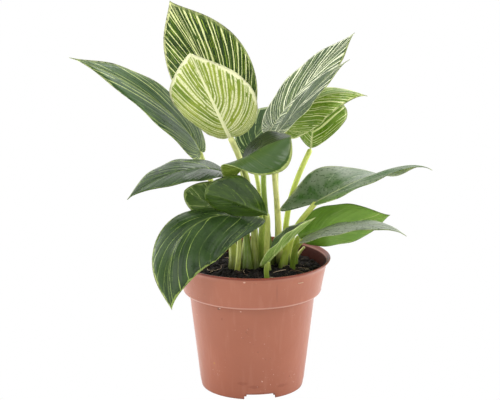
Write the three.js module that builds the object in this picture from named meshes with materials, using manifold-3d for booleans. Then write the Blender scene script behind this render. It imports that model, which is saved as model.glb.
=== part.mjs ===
// Potted birkin philodendron: a nursery pot, its potting mix, and seventeen leaves that each are
// a blade on a stalk. Millimetres, +Z up, the front of the plant towards -Y.
import * as THREE from 'three';
import { mergeVertices } from 'three/addons/utils/BufferGeometryUtils.js';
import Module from 'manifold-3d';

const wasm = await Module();
wasm.setup();

// Pot, as radius and height.
const POT_SIDES = 48;
const FOOT_R = 39.2;
const FOOT_IN = 36.6;
const BODY_LOW = [40.2, 6];
const BODY_TOP = [48.3, 75];
const BAND_LOW = [53.1, 78.6];
const BAND_TOP = [56.8, 96.8];
const LIP_R = 60;
const POT_H = 102;
const WALL = 1.4;
const PLATE_UNDER = 4.8;
const PLATE_TOP = 6.4;
const NOTCH_W = 24;
const NOTCH_H = 4.3;
const NOTCH_TURN = 9;
const DRAIN_R = 4;
const DRAIN_RING = 24;

// Potting mix.
const SOIL_TOP = 94;
const SOIL_EDGE = 91.6;
const GAP = 0.3;
const CUT = 0.4;
const FINEST = 0.03;
const STALK_FOOT = 84;

// Leaf blades: how a half outline grows, and how thick the blade and its midrib are.
const BLADE_ROWS = 12;
const BLADE_COLS = 3;
const BLADE_HALF = 0.28;
const RIB_HALF = 0.9;
const SKEW = 1.3;
const BLUNT = 0.75;
const POINT = 2.3;
const VEIN_RUN = 2.7;
const VEIN_BOW = 0.14;
const LEAST_ACROSS = 0.03;
const BASE_CLEAR = 1.2;
const STALK_SIDES = 8;
const STALK_STEPS = 7;

// Each leaf: rib is the midrib's curve from base to tip, up the upper side's direction at both
// ends, half the widths left and right of the midrib, fold and curl the angles of each half towards
// the upper side, in degrees. foot is where the stalk leaves the soil, via its two handles, and
// girth its radius at the foot, a third up and at the blade. clear is kept free round the base.
const leaves = {
  tall_back: {
    rib: [[-20, 12, 199], [-24, 14, 227], [-47, 30, 269], [-63, 42, 293]],
    up: [[0.1, -1, 0.15], [0.05, -1, 0.3]], half: [32, 34],
    fold: [[22, 12], [2, 2]], curl: [[20, 20], [5, 5]], lobe: [0.04, 0.04], point: [2.1, 2.6],
    foot: [-8, 8], via: [[0, 11, 125], [-3, 6, 176]], girth: [3.2, 2.3, 1.8],
  },
  pale_back: {
    rib: [[-17, -14, 199], [-30, -24, 229], [-40, -28, 252], [-46, -12, 262]],
    up: [[0.1, 1, 0.1], [0.1, 0.9, -0.4]], half: [32, 32],
    fold: [[8, 8], [8, 8]], curl: [[30, 30], [30, 30]], lobe: [0.05, 0.05],
    point: [2.4, 1.9], blunt: [0.9, 1], skew: [1.6, 0.8],
    foot: [1, 1], via: [[5, 5, 132], [-3, 0, 170]], girth: [3.9, 2.6, 2.2],
  },
  left_long: {
    rib: [[-40, 25, 179], [-52, 19, 208], [-94, 2, 244], [-136, -4, 257]],
    up: [[0.4, -0.6, 0.7], [0.5, -0.35, 0.8]], half: [22, 18],
    fold: [[8, 8], [8, 8]], curl: [[-10, -10], [-10, -10]], lobe: [0.04, 0.04], blunt: [0.8, 1.3],
    foot: [-16, -2], via: [[-3, -22, 107], [-38, 37, 162]], girth: [4.4, 2.6, 1.8],
  },
  left_mid: {
    rib: [[-23, -1, 169], [-42, -14, 179], [-70, -26, 174], [-93, -32, 155]],
    up: [[0.1, -0.35, 1], [-0.3, -0.35, 1]], half: [20, 19],
    fold: [[15, 10], [5, 5]], curl: [[-20, -20], [-20, -20]], lobe: [0.05, 0.05], point: [2.8, 2.3],
    foot: [-5, -8], via: [[0, -16, 113], [-8, 16, 159]], girth: [3.8, 2.5, 1.8],
  },
  left_small: {
    rib: [[-15, -6, 139], [-26, -7, 144], [-39, -10, 149], [-51, -12, 157]],
    up: [[0.2, -0.95, 0.3], [0.2, -0.95, 0.3]], half: [15, 17],
    fold: [[15, 10], [15, 10]], curl: [[0, 0], [0, 0]], lobe: [0.05, 0.05],
    point: [1.1, 1.3], blunt: [1, 1],
    foot: [-12.5, -14], via: [[-9, -19, 117], [-8, -1, 123]], girth: [2.4, 2, 1.5],
  },
  centre_turned: {
    rib: [[11, -24, 142], [-3, -36, 150], [-19, -43, 161], [-35, -43, 162]],
    up: [[-0.2, 0.85, 0.45], [-0.3, 0.85, 0.4]], half: [20, 15],
    fold: [[5, 5], [5, 5]], curl: [[15, 15], [15, 15]], lobe: [0, 0],
    point: [0.75, 0.75], blunt: [3.2, 1.3], skew: [0.65, 0.75], run: 1.2,
    foot: [14.5, -13], via: [[7, -15, 115], [14, -16, 122]], girth: [2.6, 2.2, 1.9],
  },
  front_drooping: {
    rib: [[10, -14, 135], [-34, -38, 156], [-73, -62, 137], [-59, -64, 79]],
    up: [[0, -0.6, 1], [-0.1, -1, 0.1]], half: [31, 22],
    fold: [[0, 0], [-30, -10]], curl: [[-25, -25], [-25, -25]], lobe: [0, 0],
    point: [2.6, 2.2], blunt: [1.2, 2.2], skew: [0.95, 1.1],
    foot: [8.5, -4], via: [[9, -7, 118], [4, -12, 121]], girth: [3.4, 2.6, 2.1], clear: 2.5,
  },
  centre_arched: {
    rib: [[-7, -18, 177], [-1, -28, 194], [17, -44, 201], [28, -50, 207]],
    up: [[-0.2, -0.5, 0.85], [-0.2, -0.5, 0.85]], half: [15, 31],
    fold: [[50, -30], [60, -32]], curl: [[0, -10], [0, -10]], lobe: [0, 0.45],
    point: [1.3, 0.85], blunt: [3, 0.7], skew: [0.8, 0.45],
    foot: [2.8, -9.8], via: [[1, -4, 144], [-1, -12, 158]], girth: [2.2, 2.1, 1.8], clear: 2.6,
  },
  inner_dark: {
    rib: [[0, 28, 171], [-1, 34, 184], [6, 46, 196], [19, 58, 209]],
    up: [[-0.2, -1, 0.4], [-0.2, -1, 0.4]], half: [16, 16],
    fold: [[10, 10], [10, 10]], curl: [[0, 0], [0, 0]], lobe: [0.05, 0.05],
    foot: [7, 14], via: [[8, 13, 137], [6, 32, 152]], girth: [2.8, 2.2, 1.6],
  },
  right_tall: {
    rib: [[14, 26, 195], [27, 30, 216], [51, 40, 240], [79, 50, 267]],
    up: [[-0.8, -0.5, 0.3], [-0.8, -0.5, 0.3]], half: [22, 25],
    fold: [[3, 3], [18, 0]], curl: [[0, 0], [0, 0]], lobe: [0.05, 0.05],
    foot: [13.5, 4], via: [[14, 1, 128], [2, 11, 160]], girth: [3.4, 2.3, 2],
  },
  right_narrow: {
    rib: [[19, -4, 200], [36, -7, 221], [52, -10, 243], [72, -12, 257]],
    up: [[-0.7, -0.3, 0.6], [-0.7, -0.3, 0.6]], half: [12, 14],
    fold: [[0, 0], [0, 0]], curl: [[0, 0], [0, 0]], lobe: [0.03, 0.03], point: [3, 3],
    foot: [20, 5], via: [[25, 8, 131], [11, -13, 173]], girth: [2.8, 2.2, 2],
  },
  right_upper: {
    rib: [[26, 4, 199], [38, 0, 225], [58, -5, 236], [86, -10, 229]],
    up: [[0.2, -0.9, 0.5], [0.2, -0.7, 0.8]], half: [11, 18],
    fold: [[-20, -30], [-5, -5]], curl: [[-10, -10], [-10, -10]], lobe: [0, 0.06], blunt: [1.3, 0.75],
    foot: [16.5, 13.5], via: [[26, 10, 128], [9, 5, 168]], girth: [2.6, 2.1, 1.8],
  },
  right_small: {
    rib: [[45, 18, 183], [46, 20, 195], [48, 32, 208], [56, 50, 222]],
    up: [[0, -1, 0.6], [0.1, -1, 0.6]], half: [20, 24],
    fold: [[10, 10], [10, 10]], curl: [[0, 0], [0, 0]], lobe: [0, 0],
    point: [1.9, 1.9], blunt: [1.1, 1.1], skew: [0.8, 0.8],
    foot: [27, 9], via: [[21, 15, 133], [33, 14, 158]], girth: [3, 2.2, 2],
  },
  right_long: {
    rib: [[48, -16, 149], [64, -20, 159], [113, -24, 190], [133, -34, 178]],
    up: [[-0.2, -0.3, 1], [0.2, -0.3, 1]], half: [31, 12],
    fold: [[36, -98], [5, 5]], curl: [[0, 0], [-10, -10]], lobe: [0.6, 0.02],
    point: [5.5, 2.0], blunt: [2.2, 0.75], skew: [0.85, 1.3],
    foot: [22, -1], via: [[27, 3, 124], [39, -11, 135]], girth: [3.2, 2.3, 2], clear: 2.6,
  },
  right_low_plain: {
    rib: [[36, 4, 117], [56, 2, 126], [84, 0, 128], [105, -4, 136]],
    up: [[-0.1, 0.85, 0.35], [0, 0.85, 0.35]], half: [20, 20],
    fold: [[5, 5], [5, 5]], curl: [[0, 0], [0, 0]], lobe: [0.01, 0.01],
    foot: [33, 6], via: [[33, 7, 105], [32, 5, 111]], girth: [2.6, 2.3, 1.8],
  },
  right_low_narrow: {
    rib: [[38, -18, 120], [58, -24, 133], [91, -30, 143], [115, -36, 128]],
    up: [[0, -0.2, 1], [0.1, -0.2, 1]], half: [16, 14],
    fold: [[-5, -5], [10, 10]], curl: [[-20, -20], [-20, -20]], lobe: [0.03, 0.03],
    foot: [31, -3], via: [[30, -5, 110], [33, -10, 110]], girth: [2.6, 2.1, 1.6],
  },
  front_folded: {
    rib: [[12, -36, 109], [25, -38, 124], [36, -34, 132], [47, -30, 141]],
    up: [[-0.7, 0, 0.7], [-0.7, 0, 0.7]], half: [17, 16],
    fold: [[20, 20], [30, 30]], curl: [[0, 0], [0, 0]], lobe: [0, 0.13], blunt: [2.2, 0.75],
    foot: [13, -36], via: [[10, -36, 100], [10, -36, 103]], girth: [2.4, 2, 1.8],
  },
};

// Two young growths without an open blade: foot, path above the soil and radii.
const growths = {
  young_sheath: { path: [[25, 17, 84], [26, 17, 95], [29, 17, 108], [35, 18, 119]], girth: [3.2, 3, 0.7] },
  sprout: { path: [[33, 27, 84], [33, 27, 92], [36, 27, 97], [41, 27, 102]], girth: [1.7, 1.6, 0.9] },
};

const point3 = (a) => new THREE.Vector3(a[0], a[1], a[2]);

const curveThrough = (p) => new THREE.CubicBezierCurve3(point3(p[0]), point3(p[1]), point3(p[2]), point3(p[3]));

// A closed mesh from rows of points and triangles.
function closedGeometry(positions, triangles) {
  const geometry = new THREE.BufferGeometry();
  geometry.setAttribute('position', new THREE.Float32BufferAttribute(positions, 3));
  geometry.setIndex(triangles);
  return geometry;
}

function toSolid(geometry) {
  const bare = geometry.clone();
  bare.deleteAttribute('normal');
  bare.deleteAttribute('uv');
  const welded = mergeVertices(bare, 1e-4);
  const vertProperties = new Float32Array(welded.attributes.position.array);
  const triVerts = new Uint32Array(welded.index.array);
  return new wasm.Manifold(new wasm.Mesh({ numProp: 3, vertProperties, triVerts }));
}

function toGeometry(solid) {
  const mesh = solid.getMesh();
  const positions = [];
  for (let i = 0; i < mesh.vertProperties.length; i += mesh.numProp) {
    positions.push(mesh.vertProperties[i], mesh.vertProperties[i + 1], mesh.vertProperties[i + 2]);
  }
  return closedGeometry(positions, Array.from(mesh.triVerts));
}

function largestPiece(solid) {
  const pieces = solid.decompose();
  return pieces.reduce((a, b) => (b.volume() > a.volume() ? b : a)).simplify(FINEST);
}

// The outline of one half of a leaf, 0 at the base and 1 at the tip: along and across.
function outline(t, side, leaf) {
  const lobe = leaf.lobe[side];
  const skew = leaf.skew ? leaf.skew[side] : SKEW;
  const blunt = leaf.blunt ? leaf.blunt[side] : BLUNT;
  const tip = leaf.point ? leaf.point[side] : POINT;
  const h = ((1 - Math.cos(Math.PI * t)) / 2) ** skew;
  const sine = Math.max(0, Math.sin(Math.PI * t));
  const across = Math.max(LEAST_ACROSS, sine ** (blunt + (tip - blunt) * t));
  const back = t < 0.5 ? lobe * Math.max(0, 1 - across / 0.35) ** 2 : 0;
  return [(1 + lobe) * h - lobe + back, across];
}

// A point of the flat half blade, t along the margin and r out along the side vein.
function flatPoint(t, r, side, leaf, length) {
  const [along, across] = outline(t, side, leaf);
  const endX = along * length;
  const endY = across * leaf.half[side];
  const startX = length * t ** (leaf.run ?? VEIN_RUN);
  const chord = Math.hypot(endX - startX, endY);
  const midX = (startX + endX) / 2 - VEIN_BOW * Math.min(1, t / 0.3) * chord;
  const x = (1 - r) ** 2 * startX + 2 * (1 - r) * r * midX + r * r * endX;
  const y = (1 - r) * r * endY + r * r * endY;
  return [x, y];
}

// The same point on the bent blade: the midrib follows its curve, the halves fold and curl.
function bladePoint(t, r, side, leaf, curve, length) {
  const [x, y] = flatPoint(t, r, side, leaf, length);
  const u = Math.min(1, Math.max(0, x / length));
  const centre = curve.getPointAt(u);
  const along = curve.getTangentAt(u);
  if (x < 0) {
    centre.addScaledVector(along, x);
  }
  const upper = point3(leaf.up[0]).lerp(point3(leaf.up[1]), u);
  upper.addScaledVector(along, -upper.dot(along)).normalize();
  const across = new THREE.Vector3().crossVectors(along, upper);
  const width = leaf.half[side];
  const fold = THREE.MathUtils.degToRad(THREE.MathUtils.lerp(leaf.fold[side][0], leaf.fold[side][1], u));
  const curl = THREE.MathUtils.degToRad(THREE.MathUtils.lerp(leaf.curl[side][0], leaf.curl[side][1], u)) + 1e-4;
  const turned = fold + curl * y / width;
  const out = (width / curl) * (Math.sin(turned) - Math.sin(fold));
  const lift = (-width / curl) * (Math.cos(turned) - Math.cos(fold));
  centre.addScaledVector(across, side === 0 ? -out : out);
  centre.addScaledVector(upper, lift);
  return centre;
}

// A closed thin shell: one skin on the upper side, one on the lower side with the midrib's
// swelling, joined at the margin. grow makes it fatter all round, for cutting clearances, with a
// wall along the margin.
function bladeGeometry(leaf, grow) {
  const curve = curveThrough(leaf.rib);
  curve.arcLengthDivisions = 400;
  const length = curve.getLength();
  const rows = BLADE_ROWS;
  const cols = BLADE_COLS;
  const grid = [];
  for (let i = 0; i <= rows; i += 1) {
    const row = [];
    for (let j = -cols; j <= cols; j += 1) {
      const side = j < 0 ? 0 : 1;
      const reach = Math.abs(j) / cols;
      const r = reach + (Math.abs(j) === cols ? grow / 12 : 0);
      row.push(bladePoint(i / rows, r, side, leaf, curve, length));
    }
    grid.push(row);
  }
  grid[0][cols].addScaledVector(curve.getTangentAt(0), -3 * grow);
  const positions = [];
  const index = new Map();
  const place = (key, p) => {
    if (!index.has(key)) {
      index.set(key, positions.length / 3);
      positions.push(p.x, p.y, p.z);
    }
    return index.get(key);
  };
  const corner = (i, j, skin) => {
    if (i === 0) {
      return place('base', grid[0][cols]);
    }
    if (i === rows) {
      return place('tip', grid[rows][cols]);
    }
    const p = grid[i][j];
    const atMargin = j === 0 || j === 2 * cols;
    if (atMargin && grow === 0) {
      return place(`margin ${i} ${j}`, p);
    }
    const ahead = grid[i + 1][j].clone().sub(grid[i - 1][j]);
    const aside = grid[i][Math.min(2 * cols, j + 1)].clone().sub(grid[i][Math.max(0, j - 1)]);
    const normal = new THREE.Vector3().crossVectors(aside, ahead).normalize();
    const thick = atMargin ? 0 : BLADE_HALF;
    const rib = j === cols ? (RIB_HALF - BLADE_HALF) * (1 - i / rows) : 0;
    const half = skin > 0 ? thick + grow : -(thick + rib + grow);
    return place(`${skin} ${i} ${j}`, p.clone().addScaledVector(normal, half));
  };
  const triangles = [];
  const add = (a, b, c) => {
    if (a !== b && b !== c && a !== c) {
      triangles.push(a, b, c);
    }
  };
  for (const skin of [1, -1]) {
    for (let i = 0; i < rows; i += 1) {
      for (let j = 0; j < 2 * cols; j += 1) {
        const a = corner(i, j, skin);
        const b = corner(i, j + 1, skin);
        const c = corner(i + 1, j + 1, skin);
        const d = corner(i + 1, j, skin);
        if (skin > 0) {
          add(a, b, c);
          add(a, c, d);
        } else {
          add(a, c, b);
          add(a, d, c);
        }
      }
    }
  }
  if (grow > 0) {
    for (const [j, skin] of [[0, 1], [2 * cols, -1]]) {
      for (let i = 0; i < rows; i += 1) {
        add(corner(i, j, skin), corner(i + 1, j, skin), corner(i + 1, j, -skin));
        add(corner(i, j, skin), corner(i + 1, j, -skin), corner(i, j, -skin));
      }
    }
  }
  return closedGeometry(positions, triangles);
}

// A round tapering stem along a curve, closed at both ends.
function stemGeometry(path, girth, grow, drop) {
  const start = [path[0][0], path[0][1], path[0][2] - drop];
  const curve = curveThrough([start, path[1], path[2], path[3]]);
  const frames = curve.computeFrenetFrames(STALK_STEPS, false);
  const positions = [];
  for (let i = 0; i <= STALK_STEPS; i += 1) {
    const u = i / STALK_STEPS;
    const centre = curve.getPointAt(u);
    const radius = grow + (u < 0.35
      ? THREE.MathUtils.lerp(girth[0], girth[1], u / 0.35)
      : THREE.MathUtils.lerp(girth[1], girth[2], (u - 0.35) / 0.65));
    for (let k = 0; k < STALK_SIDES; k += 1) {
      const angle = (2 * Math.PI * k) / STALK_SIDES;
      const p = centre.clone()
        .addScaledVector(frames.normals[i], radius * Math.cos(angle))
        .addScaledVector(frames.binormals[i], radius * Math.sin(angle));
      positions.push(p.x, p.y, p.z);
    }
  }
  const first = positions.length / 3;
  const foot = curve.getPointAt(0);
  const head = curve.getPointAt(1);
  positions.push(foot.x, foot.y, foot.z, head.x, head.y, head.z);
  const triangles = [];
  for (let i = 0; i < STALK_STEPS; i += 1) {
    for (let k = 0; k < STALK_SIDES; k += 1) {
      const a = i * STALK_SIDES + k;
      const b = i * STALK_SIDES + ((k + 1) % STALK_SIDES);
      triangles.push(a, b, b + STALK_SIDES, a, b + STALK_SIDES, a + STALK_SIDES);
    }
  }
  const last = STALK_STEPS * STALK_SIDES;
  for (let k = 0; k < STALK_SIDES; k += 1) {
    const next = (k + 1) % STALK_SIDES;
    triangles.push(first, next, k, first + 1, last + k, last + next);
  }
  return closedGeometry(positions, triangles);
}

function turnedSolid(profile, sides) {
  const points = profile.map(([r, z]) => new THREE.Vector2(r, z));
  const geometry = new THREE.LatheGeometry(points, sides);
  geometry.rotateX(Math.PI / 2);
  return toSolid(geometry);
}

// The pot is one moulding: foot ring, bottom plate, tapered body, band and rolled lip.
const potProfile = [
  [0, PLATE_UNDER],
  [FOOT_IN, PLATE_UNDER],
  [FOOT_IN + 0.3, 0],
  [FOOT_R - 0.5, 0],
  [FOOT_R, 0.6],
  BODY_LOW,
  BODY_TOP,
  [51.2, 75.5],
  [52.7, 76.8],
  BAND_LOW,
  BAND_TOP,
  [58.4, 99.4],
  [59.6, 101],
  [LIP_R, 101.6],
  [59.7, POT_H],
  [58.8, POT_H],
  [58.1, 101.2],
  [56.9, 99.6],
  [BAND_TOP[0] - WALL, 97],
  [BAND_LOW[0] - WALL, 78.6],
  [51, 77.2],
  [BODY_TOP[0] - WALL, 76.6],
  [BODY_LOW[0] - WALL, PLATE_TOP],
  [0, PLATE_TOP],
];
let pot = turnedSolid(potProfile, POT_SIDES);
for (let k = 0; k < 3; k += 1) {
  const notch = new THREE.BoxGeometry(NOTCH_W, 12, 2 * NOTCH_H);
  notch.translate(0, -38, 0);
  notch.rotateZ(THREE.MathUtils.degToRad(NOTCH_TURN + 120 * k));
  pot = pot.subtract(toSolid(notch));
}
for (let k = 0; k < 7; k += 1) {
  const drain = new THREE.CylinderGeometry(DRAIN_R, DRAIN_R, 6, 12);
  drain.rotateX(Math.PI / 2);
  drain.translate(k === 0 ? 0 : DRAIN_RING, 0, (PLATE_UNDER + PLATE_TOP) / 2);
  drain.rotateZ((k * Math.PI) / 3);
  pot = pot.subtract(toSolid(drain));
}

// The mix fills the pot and has a socket for each stem.
const soilProfile = [
  [0, PLATE_TOP + GAP],
  [BODY_LOW[0] - WALL - GAP, PLATE_TOP + GAP],
  [BODY_TOP[0] - WALL - GAP, 77],
  [51, 78.2],
  [BAND_LOW[0] - WALL - GAP, 79.2],
  [BAND_TOP[0] - WALL - GAP - 1.1, SOIL_EDGE],
  [46, SOIL_EDGE + 1],
  [24, SOIL_TOP - 0.6],
  [0, SOIL_TOP],
];
let soil = turnedSolid(soilProfile, POT_SIDES);

const group = new THREE.Group();

function addPiece(name, geometry, colour, roughness) {
  const material = new THREE.MeshStandardMaterial({ color: colour, roughness, metalness: 0 });
  const mesh = new THREE.Mesh(geometry, material);
  mesh.name = name;
  group.add(mesh);
}

// A stalk also keeps clear of its blade pushed a little way in each of these directions.
const nudges = [];
for (let k = 0; k < 27; k += 1) {
  const step = new THREE.Vector3((k % 3) - 1, (Math.floor(k / 3) % 3) - 1, Math.floor(k / 9) - 1);
  nudges.push(step.setLength(CUT + 0.1).toArray());
}

const bladeColour = 0x2f5a33;
const paleColour = 0x9fb060;
const plainColour = 0x558c28;
const stalkColour = 0xa8b24a;
for (const [name, leaf] of Object.entries(leaves)) {
  const path = [[leaf.foot[0], leaf.foot[1], STALK_FOOT], leaf.via[0], leaf.via[1], leaf.rib[0]];
  const knob = new THREE.SphereGeometry(leaf.clear ?? BASE_CLEAR, 8, 6);
  knob.translate(leaf.rib[0][0], leaf.rib[0][1], leaf.rib[0][2]);
  let stalk = toSolid(stemGeometry(path, leaf.girth, 0, 0))
    .subtract(toSolid(bladeGeometry(leaf, CUT + 0.15)))
    .subtract(toSolid(knob));
  const blade = toSolid(bladeGeometry(leaf, 0));
  for (const step of nudges) {
    stalk = stalk.subtract(blade.translate(step));
  }
  soil = soil.subtract(toSolid(stemGeometry(path, leaf.girth, CUT + 0.1, CUT)));
  let colour = bladeColour;
  if (name === 'pale_back') {
    colour = paleColour;
  }
  if (name === 'right_low_plain') {
    colour = plainColour;
  }
  addPiece(`${name}_blade`, bladeGeometry(leaf, 0), colour, 0.35);
  addPiece(`${name}_stalk`, toGeometry(largestPiece(stalk)), stalkColour, 0.4);
}
for (const [name, growth] of Object.entries(growths)) {
  soil = soil.subtract(toSolid(stemGeometry(growth.path, growth.girth, CUT, CUT)));
  addPiece(name, stemGeometry(growth.path, growth.girth, 0, 0), stalkColour, 0.4);
}
addPiece('soil', toGeometry(largestPiece(soil)), 0x231e1b, 0.95);
addPiece('pot', toGeometry(pot), 0xaf715d, 0.45);

export default group;
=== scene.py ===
import math
import bmesh
import bpy
from mathutils import Matrix, Vector


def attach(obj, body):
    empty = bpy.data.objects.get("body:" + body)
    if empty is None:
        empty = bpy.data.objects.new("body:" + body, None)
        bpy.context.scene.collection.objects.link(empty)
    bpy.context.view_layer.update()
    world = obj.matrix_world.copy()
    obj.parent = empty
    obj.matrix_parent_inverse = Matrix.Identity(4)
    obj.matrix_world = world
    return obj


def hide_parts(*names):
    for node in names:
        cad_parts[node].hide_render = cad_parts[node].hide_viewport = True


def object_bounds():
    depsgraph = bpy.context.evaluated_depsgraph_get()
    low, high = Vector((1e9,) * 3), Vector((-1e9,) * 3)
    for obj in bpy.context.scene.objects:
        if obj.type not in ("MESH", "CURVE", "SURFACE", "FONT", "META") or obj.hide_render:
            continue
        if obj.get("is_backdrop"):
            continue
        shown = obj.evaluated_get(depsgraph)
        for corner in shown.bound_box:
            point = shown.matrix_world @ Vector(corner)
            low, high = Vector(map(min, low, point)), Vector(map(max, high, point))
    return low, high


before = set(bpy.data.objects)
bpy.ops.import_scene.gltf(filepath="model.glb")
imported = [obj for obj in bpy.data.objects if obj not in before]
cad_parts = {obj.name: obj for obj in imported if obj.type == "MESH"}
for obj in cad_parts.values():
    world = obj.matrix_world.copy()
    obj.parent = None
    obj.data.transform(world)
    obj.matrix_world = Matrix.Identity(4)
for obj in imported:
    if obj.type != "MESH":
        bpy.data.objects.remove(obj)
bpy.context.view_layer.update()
scene = bpy.context.scene

# The view: a long lens stands in front of the pot, a little higher than the leaves, and looks
# down at it.
LOOKING_DOWN = 14.25


def put(name, data):
    """Makes an object of a camera, a light or a mesh, and puts it in the scene."""
    thing = bpy.data.objects.new(name, data)
    scene.collection.objects.link(thing)
    return thing


long_lens = bpy.data.cameras.new("camera")
long_lens.lens = 132.87
long_lens.sensor_width = 36
long_lens.shift_x = -0.0044
long_lens.clip_start = 0.05
long_lens.clip_end = 50
camera = put("camera", long_lens)
camera.location = (0, -1.360, 0.49197)
camera.rotation_euler = (math.radians(90 - LOOKING_DOWN), 0, 0)
scene.camera = camera

# The studio: a white table and backdrop, bright behind and beside the plant and dimmer behind the
# camera. Broad soft lights stand high on the left, on the right and behind, and low ones at both
# sides of the pot and in front.
WHITE = (1, 1, 1)
TABLE_GREY = (0.8, 0.8, 0.8)
TABLE_RADIUS = 9


class Term:
    """One value in a node tree, so that a formula can be written as it is read."""

    def __init__(self, tree, socket):
        self.tree = tree
        self.socket = socket

    def output(self, label):
        """Another output of the same node."""
        return Term(self.tree, self.socket.node.outputs[label])

    def math(self, operation, *others):
        return node(self.tree, "ShaderNodeMath", enumerate((self, *others)), operation=operation)

    def vector(self, operation, *others):
        first = 3 if operation == "SCALE" else 1
        inputs = {0: self, **dict(enumerate(others, first))}
        return node(self.tree, "ShaderNodeVectorMath", inputs, operation=operation)

    def __add__(self, other):
        return self.math("ADD", other)

    def __sub__(self, other):
        return self.math("SUBTRACT", other)

    def __rsub__(self, other):
        return self.math("MULTIPLY_ADD", -1.0, other)

    def __mul__(self, other):
        return self.math("MULTIPLY", other)

    def __truediv__(self, other):
        return self.math("DIVIDE", other)

    def __pow__(self, other):
        return self.math("POWER", other)

    def ramp(self, low, high, first=0.0, last=1.0, smooth=True):
        """Goes from first to last while the value goes from low to high."""
        steps = "SMOOTHSTEP" if smooth else "LINEAR"
        inputs = enumerate((self, low, high, first, last))
        return node(self.tree, "ShaderNodeMapRange", inputs, interpolation_type=steps)


def feed(slot, value):
    """Links a term to a node's input, or sets a number, a place or a colour on it."""
    if isinstance(value, Term):
        value.tree.links.new(value.socket, slot)
    elif slot.type == "RGBA":
        slot.default_value = (*value, 1)
    else:
        slot.default_value = value


def node(tree, kind, inputs=(), **settings):
    """Adds a node with its settings and inputs, and gives its first output."""
    made = tree.nodes.new(kind)
    for label, value in settings.items():
        setattr(made, label, value)
    for label, value in dict(inputs).items():
        feed(made.inputs[label], value)
    return Term(tree, made.outputs[0])


def plain_to_camera(tree, ending, lit, plain):
    """The camera sees the plain shader, and light that falls on other things comes from lit."""
    seen = node(tree, "ShaderNodeLightPath").output("Is Camera Ray")
    either = node(tree, "ShaderNodeMixShader", {0: seen, 1: lit, 2: plain})
    feed(tree.nodes[ending].inputs["Surface"], either)


def new_finish(name):
    material = bpy.data.materials.new(name)
    material.use_nodes = True
    return material, material.node_tree


def coat(tree, inputs):
    """Sets the inputs of a material's shader and gives the shader."""
    shader = tree.nodes["Principled BSDF"]
    for label, value in inputs.items():
        feed(shader.inputs[label], value)
    return Term(tree, shader.outputs[0])


def mesh_of(name, shape):
    data = bpy.data.meshes.new(name)
    shape.to_mesh(data)
    shape.free()
    return data


def soft_light(name, place, target, size, power):
    data = bpy.data.lights.new(name, "AREA")
    data.shape = "DISK"
    data.size = size
    data.energy = power
    light = put(name, data)
    light.location = place
    light.rotation_euler = (Vector(target) - Vector(place)).to_track_quat("-Z", "Y").to_euler()


soft_light("window_left", (-0.8, -0.9, 1.25), (0, 0, 0.15), 0.8, 10)
soft_light("window_right", (1.2, -0.7, 0.9), (0, 0, 0.15), 0.7, 5)
soft_light("window_back", (0.3, 0.9, 1.3), (0, 0, 0.2), 0.8, 5)
soft_light("front_fill", (-0.15, -1.7, 0.35), (0, 0, 0.12), 0.9, 5)
soft_light("side_left", (-1.0, 0.3, 0.25), (0, 0, 0.07), 0.9, 7)
soft_light("side_right", (1.0, 0.3, 0.25), (0, 0, 0.07), 0.9, 9)

scene.view_settings.view_transform = "Standard"
scene.world = bpy.data.worlds.new("white_room")
scene.world.use_nodes = True
room = scene.world.node_tree
heading = node(room, "ShaderNodeTexCoord").output("Generated")
backward = node(room, "ShaderNodeSeparateXYZ", {0: heading}).output("Y")
glow = backward.ramp(-0.9, 0.35, 0.25, 1.3)
surroundings = node(room, "ShaderNodeBackground", {"Color": WHITE, "Strength": glow})
backdrop = node(room, "ShaderNodeBackground", {"Color": WHITE, "Strength": 1.0})
plain_to_camera(room, "World Output", surroundings, backdrop)

table = bmesh.new()
bmesh.ops.create_circle(table, cap_ends=True, segments=96, radius=TABLE_RADIUS)
floor = put("floor", mesh_of("floor", table))
floor_white, tree = new_finish("floor_white")
matt = coat(tree, {"Base Color": TABLE_GREY, "Roughness": 0.9, "Specular IOR Level": 0.1})
plain_to_camera(tree, "Material Output", matt, node(tree, "ShaderNodeEmission"))
floor.data.materials.append(floor_white)
floor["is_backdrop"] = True

# The pot: one thin terracotta-coloured plastic moulding with a deep band, a rolled lip, three
# notches in its foot ring and drain holes in its bottom plate. It carries specks of potting mix.
MM = 0.001
IN_MM = 1000.0
POT_TURNS = 240
POT_SECTION = [
    (36.6, 4.8), (36.7, 3.0), (36.9, 0.5), (37.2, 0.1), (37.7, 0.0), (38.4, 0.0), (38.9, 0.25),
    (39.15, 0.9), (39.5, 2.6), (40.2, 6.0), (42.9, 29), (45.6, 52), (48.2, 74.2), (48.4, 75.0),
    (48.75, 75.25), (50.0, 75.35), (51.3, 75.45), (52.1, 75.75), (52.75, 76.35), (53.15, 77.2),
    (53.2, 78.4), (54.3, 84.6), (55.5, 90.6), (56.6, 96.0), (56.9, 97.2), (57.5, 98.3),
    (58.5, 99.5), (59.3, 100.5), (59.8, 101.1), (60.0, 101.5), (59.9, 101.85), (59.6, 102.0),
    (59.0, 102.0), (58.6, 101.8), (58.1, 101.2), (57.2, 100.0), (56.2, 98.6), (55.6, 97.4),
    (55.4, 96.6), (53.6, 87.6), (51.7, 78.6), (51.2, 77.6), (50.0, 77.0), (47.6, 76.8),
    (46.9, 76.2), (46.6, 74), (42.7, 40), (38.9, 6.9), (38.4, 6.4),
]
NOTCHES = 3
NOTCH_SIZE = (0.024, 0.012, 0.0086)
NOTCH_ROUNDING = 0.0016
NOTCH_PLACE = (0, -0.038, 0)
FIRST_NOTCH = 9
DRAINS_IN_RING = 6
DRAIN_RADIUS = 0.004
DRAIN_DEPTH = 0.006
DRAIN_RING = 0.024
PLATE_HEIGHT = 0.0056


def turned_point(radius, height, turn, turns):
    """A point of a shape turned round the pot's axis, from millimetres."""
    angle = 2 * math.pi * turn / turns
    return (radius * MM * math.cos(angle), radius * MM * math.sin(angle), height * MM)


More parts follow.
